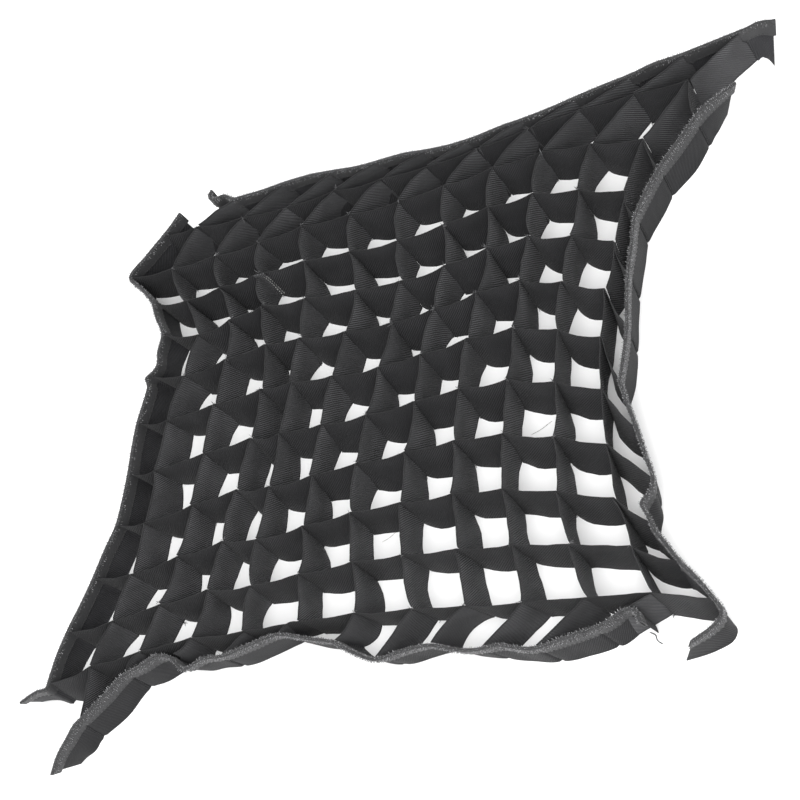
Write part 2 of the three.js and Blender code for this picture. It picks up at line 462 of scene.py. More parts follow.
@dataclass(frozen=True)
class WovenRibbon:
    """Black polyester ribbon, woven in a twill. Its ribs catch the light in fine slanting lines, its two
    woven edges are closer than its middle, and handling leaves it a little dusty.

    The real ribs are about 0.9 mm apart. They are drawn about twice as coarse, so that they show."""

    name: str
    dark: str
    light: str
    edge: str
    rib: float
    slant_deg: float
    relief: float = 0.5
    reverse: float = 1.0  # how many times lighter the reverse face is painted; on the border bands this is painted light on their inner faces
    sheen: float = 0.05

    def material(self) -> bpy.types.Material:
        """Makes the material. It reads the weave attribute: millimetres along and up the ribbon."""
        made, tree, shader = new_material(self.name)
        weave = add_node(tree, "ShaderNodeAttribute", {"attribute_name": "weave"}).outputs["Vector"]
        turned = add_node(
            tree, "ShaderNodeMapping", {"Rotation": (0, 0, math.radians(self.slant_deg))}, {"Vector": weave}
        ).outputs[0]
        ribs = add_node(
            tree,
            "ShaderNodeTexWave",
            {"Scale": wave_scale(self.rib), "Distortion": 0.5, "Detail": 1.0, "Detail Scale": 0.6},
            {"Vector": turned},
        ).outputs["Fac"]
        picks = add_node(
            tree,
            "ShaderNodeTexWave",
            {"bands_direction": "Y", "Scale": wave_scale(self.rib * 0.6), "Distortion": 1.2, "Detail": 1.0},
            {"Vector": turned},
        ).outputs["Fac"]
        fibre = add_node(
            tree, "ShaderNodeTexNoise", {"Scale": 2.6, "Detail": 3.0}, {"Vector": weave}
        ).outputs["Fac"]
        dust = add_node(
            tree, "ShaderNodeTexNoise", {"Scale": 0.035, "Detail": 4.0}, {"Vector": weave}
        ).outputs["Fac"]
        woven = add_node(
            tree, "ShaderNodeMath", {"operation": "MULTIPLY_ADD", 1: 0.3}, {0: picks, 2: ribs}
        ).outputs[0]
        rough = add_node(
            tree, "ShaderNodeMath", {"operation": "MULTIPLY_ADD", 1: 0.8}, {0: fibre, 2: woven}
        ).outputs[0]
        tone = add_node(
            tree, "ShaderNodeMapRange", {
                "From Min": 0.4, "From Max": 1.45, "To Min": 0.0, "To Max": 1.0
            }, {0: rough}
        ).outputs[0]
        patch = add_node(
            tree, "ShaderNodeTexNoise", {"Scale": 0.022, "Detail": 1.0}, {"Vector": weave}
        ).outputs["Fac"]
        crisp = add_node(
            tree, "ShaderNodeMapRange", {
                "From Min": 0.45, "From Max": 0.57, "To Min": 0.15, "To Max": 1.5
            }, {0: patch}
        ).outputs[0]
        off_mean = add_node(tree, "ShaderNodeMath", {"operation": "SUBTRACT", 1: 0.5}, {0: tone}).outputs[0]
        shade = add_node(
            tree, "ShaderNodeMath", {"operation": "MULTIPLY_ADD", 2: 0.5}, {0: off_mean, 1: crisp}
        ).outputs[0]
        cloth = add_node(
            tree, "ShaderNodeMix", {
                "data_type": "RGBA", 6: linear(self.dark), 7: linear(self.light)
            }, {0: shade}
        ).outputs[2]
        parts = add_node(tree, "ShaderNodeSeparateXYZ", {}, {0: weave}).outputs
        up = parts["Y"]
        off_middle = add_node(
            tree, "ShaderNodeMath", {"operation": "SUBTRACT", 1: DEPTH / 2}, {0: up}
        ).outputs[0]
        reach = add_node(tree, "ShaderNodeMath", {"operation": "ABSOLUTE"}, {0: off_middle}).outputs[0]
        woven_edge = add_node(
            tree,
            "ShaderNodeMapRange",
            {"From Min": DEPTH / 2 - 2.0, "From Max": DEPTH / 2 - 0.9, "To Min": 0.0, "To Max": 0.75},
            {0: reach},
        ).outputs[0]
        edged = add_node(
            tree, "ShaderNodeMix", {"data_type": "RGBA", 7: linear(self.edge)}, {0: woven_edge, 6: cloth}
        ).outputs[2]
        dusty = add_node(
            tree, "ShaderNodeMapRange", {
                "From Min": 0.35, "From Max": 0.7, "To Min": 0.82, "To Max": 1.2
            }, {0: dust}
        ).outputs[0]
        # painted light: the reverse face, which on a border band is its inner face, is painted lighter by the
        # reverse factor
        painted_light_on_reverse = add_node(
            tree,
            "ShaderNodeMapRange",
            {"From Min": 0.0, "From Max": REVERSE, "To Min": 1.0, "To Max": self.reverse},
            {0: parts["Z"]},
        ).outputs[0]
        scale = add_node(tree, "ShaderNodeMath", {"operation": "MULTIPLY"}, {0: dusty, 1: painted_light_on_reverse}).outputs[0]
        colour = add_node(
            tree, "ShaderNodeVectorMath", {"operation": "SCALE"}, {0: edged, "Scale": scale}
        ).outputs[0]
        bump = add_node(
            tree, "ShaderNodeBump", {"Strength": self.relief, "Distance": 0.35 * MM}, {"Height": rough}
        ).outputs[0]
        tree.links.new(colour, shader.inputs["Base Color"])
        tree.links.new(bump, shader.inputs["Normal"])
        shader.inputs["Roughness"].default_value = 0.8
        shader.inputs["IOR"].default_value = 1.5
        shader.inputs["Specular IOR Level"].default_value = 0.2
        shader.inputs["Sheen Weight"].default_value = self.sheen
        shader.inputs["Sheen Roughness"].default_value = 0.45
        return made


@dataclass(frozen=True)
class HookGround:
    """The woven nylon ground of hook tape. It is close and dull, a dark grain between the hooks."""

    name: str = "hook tape ground, woven nylon"
    dark: str = "#0a0a0b"
    light: str = "#303032"
    plain: str = "#1d1d1f"  # its two edges, which have no hooks
    fold: float = 13.6  # mm across the tape to its fold
    plain_from: float = 5.7  # mm from the fold at which its hookless edges begin
    plain_full: float = 6.4  # mm from the fold at which they are fully plain

    def material(self) -> bpy.types.Material:
        """Makes the material. It reads the weave attribute."""
        made, tree, shader = new_material(self.name)
        weave = add_node(tree, "ShaderNodeAttribute", {"attribute_name": "weave"}).outputs["Vector"]
        grain = add_node(
            tree, "ShaderNodeTexNoise", {"Scale": 0.75, "Detail": 4.0, "Roughness": 0.7}, {"Vector": weave}
        ).outputs["Fac"]
        tone = add_node(
            tree, "ShaderNodeMapRange", {
                "From Min": 0.38, "From Max": 0.68, "To Min": 0.0, "To Max": 1.0
            }, {0: grain}
        ).outputs[0]
        colour = add_node(
            tree, "ShaderNodeMix", {
                "data_type": "RGBA", 6: linear(self.dark), 7: linear(self.light)
            }, {0: tone}
        ).outputs[2]
        across = add_node(tree, "ShaderNodeSeparateXYZ", {}, {0: weave}).outputs["Y"]
        off_fold = add_node(
            tree, "ShaderNodeMath", {"operation": "SUBTRACT", 1: self.fold}, {0: across}
        ).outputs[0]
        reach = add_node(tree, "ShaderNodeMath", {"operation": "ABSOLUTE"}, {0: off_fold}).outputs[0]
        edge = add_node(
            tree, "ShaderNodeMapRange", {
                "From Min": self.plain_from, "From Max": self.plain_full, "To Min": 0.0, "To Max": 0.9
            }, {0: reach}
        ).outputs[0]
        edged = add_node(
            tree, "ShaderNodeMix", {"data_type": "RGBA", 7: linear(self.plain)}, {0: edge, 6: colour}
        ).outputs[2]
        bump = add_node(
            tree, "ShaderNodeBump", {"Strength": 0.6, "Distance": 0.4 * MM}, {"Height": grain}
        ).outputs[0]
        tree.links.new(edged, shader.inputs["Base Color"])
        tree.links.new(bump, shader.inputs["Normal"])
        shader.inputs["Roughness"].default_value = 0.75
        shader.inputs["IOR"].default_value = 1.53
        shader.inputs["Sheen Weight"].default_value = 0.1
        return made


@dataclass(frozen=True)
class Filament:
    """A polymer thread or hook: nylon hooks are smooth and glint, spun polyester thread is duller. Each strand has
    its own shade, because strands face the light differently."""

    name: str
    dark: str
    light: str
    roughness: float
    grain: float = 900.0

    def material(self) -> bpy.types.Material:
        """Makes the material. Its shade changes from strand to strand."""
        made, tree, shader = new_material(self.name)
        place = add_node(tree, "ShaderNodeTexCoord").outputs["Object"]
        noise = add_node(
            tree, "ShaderNodeTexNoise", {"Scale": self.grain, "Detail": 2.0}, {"Vector": place}
        ).outputs["Fac"]
        tone = add_node(
            tree, "ShaderNodeMapRange", {
                "From Min": 0.4, "From Max": 0.62, "To Min": 0.0, "To Max": 1.0
            }, {0: noise}
        ).outputs[0]
        colour = add_node(
            tree, "ShaderNodeMix", {
                "data_type": "RGBA", 6: linear(self.dark), 7: linear(self.light)
            }, {0: tone}
        ).outputs[2]
        tree.links.new(colour, shader.inputs["Base Color"])
        shader.inputs["Roughness"].default_value = self.roughness
        shader.inputs["IOR"].default_value = 1.53
        return made


@dataclass(frozen=True)
class TableTop:
    """A white acrylic table top, lit so brightly that it is nearly blank, with the faintest unevenness."""

    name: str = "white acrylic table top"
    colour: str = "#f8f8f8"

    def material(self) -> bpy.types.Material:
        """Makes the material."""
        made, tree, shader = new_material(self.name)
        place = add_node(tree, "ShaderNodeTexCoord").outputs["Object"]
        noise = add_node(
            tree, "ShaderNodeTexNoise", {"Scale": 3.0, "Detail": 2.0}, {"Vector": place}
        ).outputs["Fac"]
        rough = add_node(
            tree, "ShaderNodeMapRange", {
                "From Min": 0.0, "From Max": 1.0, "To Min": 0.5, "To Max": 0.6
            }, {0: noise}
        ).outputs[0]
        tree.links.new(rough, shader.inputs["Roughness"])
        shader.inputs["Base Color"].default_value = linear(self.colour)
        shader.inputs["Specular IOR Level"].default_value = 0.2
        return made


@dataclass(frozen=True)
class Finishes:
    """Every finish of the grid, made once."""

    row_ribbon: bpy.types.Material
    column_ribbon: bpy.types.Material
    band: bpy.types.Material
    ground: bpy.types.Material
    hook: bpy.types.Material
    thread: bpy.types.Material
    pale_thread: bpy.types.Material
    fibre: bpy.types.Material

    @classmethod
    def make(cls) -> "Finishes":
        """Makes the materials."""
        return cls(
            # painted light and shade: rows and columns are one ribbon, and the column copy is painted with more
            # contrast and lighter ribs than the row copy, for how light falls on their faces
            WovenRibbon(
                "black polyester twill ribbon, rows", "#0b0b0c", "#2f2f31", "#1f1f20", 1.7, 41, 0.6
            ).material(),
            WovenRibbon(
                "black polyester twill ribbon, columns", "#020203", "#525254", "#222223", 1.65, 37, 1.0
            ).material(),
            # painted light: this band's reverse, its inner face, is painted 2.1 times lighter
            WovenRibbon(
                "black polyester band, ribbed", "#0c0c0d", "#242426", "#1e1e20", 1.7, 38, 0.6, 2.1
            ).material(),
            HookGround().material(),
            Filament("hook tape hooks, nylon", "#101012", "#98989a", 0.55, 800.0).material(),
            Filament("sewing thread, black polyester", "#0b0b0c", "#262627", 0.7).material(),
            Filament("repair thread, undyed cotton", "#8f8f8c", "#c8c8c4", 0.8).material(),
            Filament("frayed polyester fibre", "#2c2c2d", "#6a6a6c", 0.75).material(),
        )


# ----------------------------------------------------------------------------------------------------- meshes


def new_object(name: str, points: np.ndarray, faces: list, material: bpy.types.Material) -> bpy.types.Object:
    """Makes a smooth-shaded mesh object that keeps its sharp corners, and puts it in the scene."""
    mesh = bpy.data.meshes.new(name)
    mesh.from_pydata(points.tolist(), [], [list(map(int, f)) for f in faces])
    mesh.polygons.foreach_set("use_smooth", [True] * len(mesh.polygons))
    mesh.set_sharp_from_angle(angle=math.radians(55))
    mesh.materials.append(material)
    made = bpy.data.objects.new(name, mesh)
    bpy.context.scene.collection.objects.link(made)
    return made


def cloth_object(
    name: str,
    front: np.ndarray,
    rear: np.ndarray,
    weave: np.ndarray,
    material: bpy.types.Material,
    cut: np.ndarray | None = None,
    marks: tuple[float, float] = (0.0, REVERSE),
) -> bpy.types.Object:
    """Makes a closed thin sheet from its two faces.

    Args:
        name: the piece's name.
        front: the points of one face, (m, k, 3). It faces left of the way m counts, if k counts upwards.
        rear: the points of the other face.
        weave: millimetres along and across the cloth, (m, k, 2).
        material: its finish.
        cut: True for each square that is cut out, (m - 1, k - 1).
        marks: the weave attribute's third value on the front and on the rear.

    Returns:
        The object, with the weave attribute.
    """
    m, k = front.shape[:2]
    number = np.arange(m * k).reshape(m, k)
    i, j = np.nonzero(~cut) if cut is not None else (a.ravel() for a in np.indices((m - 1, k - 1)))
    squares = np.stack([number[i, j], number[i, j + 1], number[i + 1, j + 1], number[i + 1, j]], -1)
    starts, ends = squares.ravel(), np.roll(squares, -1, axis=1).ravel()
    rim = ~np.isin(starts * m * k + ends, ends * m * k + starts)
    walls = np.stack([ends[rim], starts[rim], starts[rim] + m * k, ends[rim] + m * k], -1)
    faces = np.vstack([squares, squares[:, ::-1] + m * k, walls])
    used, packed = np.unique(faces, return_inverse=True)
    points = np.vstack([front.reshape(-1, 3), rear.reshape(-1, 3)])[used]
    made = new_object(name, points, list(packed.reshape(faces.shape)), material)
    both = np.vstack([weave.reshape(-1, 2)] * 2)[used]
    values = np.column_stack([both, np.where(used < m * k, *marks)]).astype(np.float32)
    made.data.attributes.new("weave", "FLOAT_VECTOR", "POINT").data.foreach_set("vector", values.ravel())
    return made


@dataclass
class Bits:
    """Many small closed pieces, such as stitches, gathered into one mesh."""

    points: list[np.ndarray] = field(default_factory=list)
    faces: list[list[int]] = field(default_factory=list)
    count: int = 0

    def add(self, points: np.ndarray, faces: Iterable[Iterable[int]]) -> None:
        """Adds one closed piece."""
        self.faces += [[n + self.count for n in f] for f in faces]
        self.points.append(points)
        self.count += len(points)

    def tube(self, path: np.ndarray, radius: float, sides: int = 4) -> None:
        """Adds a closed tube along a path, thinner at its two ends."""
        run = np.gradient(path, axis=0)
        run /= np.maximum(np.linalg.norm(run, axis=1, keepdims=True), 1e-12)
        guide = np.array([0.0, 0.0, 1.0]) if abs(run[0, 2]) < 0.8 else np.array([1.0, 0.0, 0.0])
        a = np.cross(run, guide)
        a /= np.maximum(np.linalg.norm(a, axis=1, keepdims=True), 1e-12)
        b = np.cross(run, a)
        turn = np.arange(sides) * 2 * math.pi / sides
        size = np.full(len(path), radius)
        size[[0, -1]] *= 0.55
        ring = a[:, None] * np.cos(turn)[None, :, None] + b[:, None] * np.sin(turn)[None, :, None]
        points = (path[:, None] + ring * size[:, None, None]).reshape(-1, 3)
        faces = [
            [
                r * sides + n,
                r * sides + (n + 1) % sides,
                (r + 1) * sides + (n + 1) % sides,
                (r + 1) * sides + n,
            ]
            for r in range(len(path) - 1)
            for n in range(sides)
        ]
        last = (len(path) - 1) * sides
        faces += [list(range(sides))[::-1], [last + n for n in range(sides)]]
        self.add(points, faces)

    def object(self, name: str, material: bpy.types.Material) -> bpy.types.Object:
        """Makes the object."""
        return new_object(name, np.vstack(self.points), self.faces, material)


@dataclass
class StandingCloth:
    """A strip of cloth that stands on edge along a line on the table."""

    lay: Lay
    line: Line

    def leans(self) -> tuple[np.ndarray, np.ndarray]:
        """Lengths along the line in metres, and the cloth's lean in mm at each."""
        return np.zeros(1), np.zeros((1, 2))

    def lean_at(self, s: np.ndarray) -> np.ndarray:
        """The cloth's lean in mm at lengths s: how far its lower edge lies from under its upper edge."""
        marks, leans = self.leans()
        return np.stack([np.interp(s, marks, leans[:, a]) for a in (0, 1)], -1)

    def sway(self, s: np.ndarray, z: np.ndarray) -> np.ndarray:
        """How far the cloth stands to the left of its line, in metres, at lengths s and heights z in mm."""
        return np.zeros(np.broadcast(s, z).shape)

    def place(self, s: np.ndarray, offset: np.ndarray, z: np.ndarray) -> np.ndarray:
        """Finds points on or beside the cloth.

        Args:
            s: lengths along the line, in metres.
            offset: distances from the middle of the cloth's thickness, in mm, to the left.
            z: heights up the cloth, in mm.

        Returns:
            The points, in the frame, with one more axis than the arguments.
        """
        s, offset, z = np.broadcast_arrays(np.asarray(s, float), offset, z)
        push = offset * MM + self.sway(s, z)
        lean = self.lean_at(s)
        drop = (1 - z / DEPTH)[..., None]
        flat = self.line.at(s) + self.line.left(s) * push[..., None] + lean * MM * drop
        upright = np.sqrt(1 - np.minimum((lean**2).sum(-1) / DEPTH**2, 0.6))
        return np.concatenate([flat, (z * upright)[..., None] * MM], -1)


# ------------------------------------------------------------------------------------------- interior ribbons


@dataclass
class InteriorRibbon(StandingCloth):
    """One ribbon of the grid's inside, slit half-way through at each crossing: a row from below, a column
    from above."""

    run: Run = Run.ROW
    number: int = 1
    rises: np.ndarray = field(default_factory=lambda: np.zeros(SPANS))
    thickness: float = 0.5  # mm
    edge_thickness: float = 0.5  # mm, where the ribbon's own woven edge is
    slit_width: float = 1.1  # mm

    def __post_init__(self) -> None:
        """Draws the ribbon's own creases and curls."""
        draw = np.random.default_rng(100 * self.number + (7 if self.run is Run.ROW else 3))
        self.marks = self.line.marks
        self.droop = self.rises * draw.uniform(0.8, 1.8, SPANS) * MM + draw.normal(0, 0.6, SPANS) * MM
        self.curl = draw.uniform(0.5, 2.2, (LINES, 2)) * draw.choice([-1.0, 1.0], (LINES, 2)) * MM
        self.phase = draw.uniform(0, 2 * math.pi, 4)

    @classmethod
    def of(cls, lay: Lay, run: Run, number: int) -> "InteriorRibbon":
        """Makes the ribbon of that number from the lay."""
        marks, rises = lay.ribbon(run, number)
        return cls(
            lay, Line.arched(lay.frame_points(marks), np.array(rises) * MM), run, number, np.array(rises)
        )

    @property
    def name(self) -> str:
        """The ribbon's name, such as row_cloth_01."""
        return f"{self.run.value}_cloth_{self.number:02d}"

    @property
    def node(self) -> str:
        """The CAD node that the ribbon stands for."""
        return f"{self.run.value}_ribbon_{self.number:02d}"

    def leans(self) -> tuple[np.ndarray, np.ndarray]:
        """The lean at every crossing and at both ends."""
        lines = range(SPANS + 1)
        found = [
            self.lay.lean(
                self.number, n
            ) if self.run is Run.ROW else self.lay.lean(n, self.number) for n in lines
        ]
        return self.marks, np.array(found)

    def in_slit(self, z: np.ndarray) -> np.ndarray:
        """How near a height is to the open end of the slits, from 0 at their closed end to 1."""
        return np.clip((SLIT - z) / SLIT if self.run is Run.ROW else (z - SLIT) / SLIT, 0, 1)

    def sway(self, s: np.ndarray, z: np.ndarray) -> np.ndarray:
        """The bow that grows towards the lower edge, soft ripples, and the curl of the cloth beside each
        slit."""
        span = np.clip(np.searchsorted(self.marks, s, side="right") - 1, 0, SPANS - 1)
        share = np.clip((s - self.marks[span]) / (self.marks[span + 1] - self.marks[span]), 0, 1)
        middle = np.sin(np.pi * share)
        low = np.clip(1 - z / DEPTH, 0, 1)
        ripple = 0.30 * np.sin(
            190 * s + 0.05 * z + self.phase[0]
        ) + 0.22 * np.sin(330 * s - 0.09 * z + self.phase[1])
        bow = middle * (self.droop[span] * low**1.3 + ripple * MM)
        inner = self.marks[1:-1]
        nearest = np.abs(s[..., None] - inner).argmin(-1)
        away = s - inner[nearest]
        curl = self.curl[
            nearest, (away > 0).astype(int)
        ] * self.in_slit(z) ** 1.5 * np.exp(-np.abs(away) / (4.5 * MM))
        return bow + curl

    def end_gap(self, first: bool) -> float:
        """How far short of the border's line the ribbon stops, per mm of clearance, where it meets it at a
        slant."""
        end = 0 if first else -1
        side = {
            Run.ROW: (Side.LEFT, Side.RIGHT), Run.COLUMN: (Side.FRONT, Side.BACK)
        }[self.run][0 if first else 1]
        band = self.lay.edge(
            side, min(self.number + 0.4, LINES)
        ) - self.lay.edge(side, max(self.number - 0.4, 1))
        run = self.line.along(np.array([self.marks[end]]))[0]
        sine = abs(run[0] * band[1] - run[1] * band[0]) / np.linalg.norm(band)
        return 1 / max(sine, 0.4)

    def build(self, finishes: Finishes) -> bpy.types.Object:
        """Builds the ribbon as one closed sheet with its slits."""
        shares = np.array([0, 0.05, 0.12, 0.22, 0.36, 0.5, 0.64, 0.78, 0.88, 0.95, 1])
        z = np.array([0, 1.5, 5.5, 10.5, 15.5, SLIT, 24.5, 29.5, 34.5, 38.5, DEPTH])
        clear = np.where(z > 27, 1.9, 0.7)
        half_slit = self.slit_width / 2 * MM
        stations = []
        for span in range(SPANS):
            start = self.marks[span] + (clear * MM * self.end_gap(True) if span == 0 else half_slit)
            end = self.marks[span + 1] - (
                clear * MM * self.end_gap(False) if span == SPANS - 1 else half_slit
            )
            stations.append(start + shares[:, None] * (end - start) * np.ones_like(z))
        s = np.vstack(stations)
        heights = np.broadcast_to(z, s.shape)
        inner = self.marks[1:-1]
        nearest = np.abs(s[..., None] - inner).argmin(-1)
        spread = np.sign(s - inner[nearest]) * np.exp(-np.abs(s - inner[nearest]) / (3 * MM))
        opened = s + 0.5 * MM * spread * self.in_slit(heights) ** 1.3
        thick = np.where((z < 2) | (z > DEPTH - 2), self.edge_thickness, self.thickness) / 2
        cut = np.zeros((len(s) - 1, len(z) - 1), bool)
        slit_squares = (z[1:] <= SLIT) if self.run is Run.ROW else (z[:-1] >= SLIT)
        cut[len(shares) - 1 :: len(shares)] = slit_squares
        made = cloth_object(
            self.name,
            self.place(opened, thick, heights),
            self.place(opened, -thick, heights),
            np.stack(
                [(s / MM + WEAVE_APART * self.number) * (1 if self.run is Run.ROW else -1), heights], -1
            ),
            finishes.row_ribbon if self.run is Run.ROW else finishes.column_ribbon,
            cut,
        )
        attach(made, "grid")
        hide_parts(self.node)
        return made


@dataclass
class SlitFrays:
    """The small tufts of loose fibre where the cut edges of the slits have frayed."""

    ribbons: list[InteriorRibbon]
    share: float = 0.6  # of the slits show a tuft

    def tuft(self, bits: Bits, root: np.ndarray, away: np.ndarray, draw: np.random.Generator) -> None:
        """Adds a few short bent fibres that leave a point."""
        for _ in range(int(draw.integers(4, 9))):
            way = away + draw.normal(0, 0.7, 3)
            way /= np.linalg.norm(way)
            bend = draw.normal(0, 0.45, 3)
            length = draw.uniform(1.0, 2.9) * MM
            t = np.linspace(0, 1, 4)[:, None]
            path = root + draw.normal(0, 0.35, 3) * MM + length * (t * way + t * t * bend)
            path[:, 2] = np.maximum(path[:, 2], 0.3 * MM)
            bits.tube(path, 0.2 * MM, 3)

    def build(self, finishes: Finishes) -> bpy.types.Object:
        """Builds all tufts as one piece."""
        draw, bits = np.random.default_rng(11), Bits()
        for ribbon in self.ribbons:
            top = ribbon.run is Run.COLUMN
            for mark in ribbon.marks[1:-1]:
                if draw.random() > self.share:
                    continue
                z = DEPTH - 0.3 if top else 0.8
                root = ribbon.place(
                    np.array(mark + draw.choice([-0.7, 0.7]) * MM), draw.uniform(-0.4, 0.4), z
                )
                self.tuft(bits, root, np.array([0, 0, 0.9 if top else 0.2]), draw)
        made = bits.object("slit_frays", finishes.fibre)
        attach(made, "grid")
        return made


@dataclass
class SewnFlap:
    """A ribbon's spare end, folded and sewn flat with two dashed rows of pale thread, beside one crossing."""

    lay: Lay
    row: int = 9
    column: int = 3
    width: float = 10.0  # mm
    thickness: float = 1.1  # mm
    turn_deg: float = 12.0
    step_back: float = 3.0  # mm that it starts before the crossing
    foot: float = 4.0  # mm above the table
    lift: float = 2.0  # mm that its top stands above the ribbons
    rows: tuple[float, float] = (1.2, 3.6)  # mm from its free edge to each row of stitches

    def place(self, along: np.ndarray, offset: np.ndarray, up: np.ndarray) -> np.ndarray:
        """Finds points on or beside the flap, all in mm: along its width, off its face and up."""
        along, offset, up = np.broadcast_arrays(along, offset, up)
        root = self.lay.frame_points(self.lay.crossing(self.row, self.column))
        turn = math.radians(self.turn_deg)
        run, face = np.array([math.cos(turn), math.sin(turn)]), np.array([math.sin(turn), -math.cos(turn)])
        drop = (1 - up / DEPTH)[..., None]
        curl = 1.8 * ease((up - 32) / 10) + 0.5 * np.sin(up / 5)
        flat = root + (
            (along - self.step_back)[..., None] * run + (offset + 1.4 + curl)[..., None] * face
        ) * MM
        flat = flat + self.lay.lean(self.row, self.column) * MM * drop
        return np.concatenate([flat, up[..., None] * MM], -1)

    def build(self, finishes: Finishes) -> list[bpy.types.Object]:
        """Builds the flap and its two rows of stitches."""
        up = np.linspace(self.foot, DEPTH + self.lift, 16)[:, None]
        along = np.array([0, 0.8, self.width / 2, self.width - 0.8, self.width])[None]
        half = self.thickness / 2 * np.array([0.5, 1, 1.1, 1, 0.5])[None]
        weave = np.stack(np.broadcast_arrays(up, along + DEPTH / 2), -1)
        flap = cloth_object(
            "sewn_flap", self.place(along, half, up), self.place(
                along, -half, up
            ), weave, finishes.column_ribbon
        )
        bits = Bits()
        for across in (self.width - row for row in self.rows):
            for low in np.arange(self.foot + 2, DEPTH - 3, 3.1):
                t = np.array([0.0, 0.2, 0.5, 0.8, 1.0])
                out = self.thickness / 2 + np.array([-0.2, 0.15, 0.25, 0.15, -0.2])
                bits.tube(self.place(across + 0 * t, out, low + 1.9 * t), 0.28 * MM)
        stitches = bits.object("sewn_flap_stitches", finishes.pale_thread)
        for made in (flap, stitches):
            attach(made, "grid")
        return [flap, stitches]


@dataclass
class LooseThreads:
    """Longer threads that have come away: dark ones under the front border and at one of its tails, the last on a
    body of its own, and fine pale ones on the table."""

    lay: Lay
    dark: tuple[Route, ...] = (((-181, -229), (-179, -235), (-177, -242)),)
    at_tail: tuple[Route, ...] = (((236, -186), (241, -188), (243, -192), (248, -195)),)
    pale: tuple[Route, ...] = (((112, -23), (120, -18), (128, -11)), ((-3, -116), (2, -113), (8, -107)))

    def build(self, finishes: Finishes) -> list[bpy.types.Object]:
        """Builds the dark threads, the one at the tail and the pale ones."""
        made = []
        for name, routes, radius, finish, body, slot in (
            ("loose_threads_dark", self.dark, 0.45, finishes.fibre, "grid", "grid_ribbon"),
            ("loose_thread_tail", self.at_tail, 0.45, finishes.fibre, "front_right_tail", "border_ribbon"),
            ("loose_threads_pale", self.pale, 0.22, finishes.pale_thread, "grid", "grid_ribbon"),
        ):
            bits = Bits()
            for route in routes:
                line = Line.through(self.lay.frame_points(route), 6)
                height = radius * MM * (1.4 + 0.3 * np.sin(np.arange(len(line.points))))
                bits.tube(np.column_stack([line.points, height]), radius * MM)
            thread = bits.object(name, finish)
            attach(thread, body)
            made.append(thread)
        return made


# ----------------------------------------------------------------------------------------------- border bands


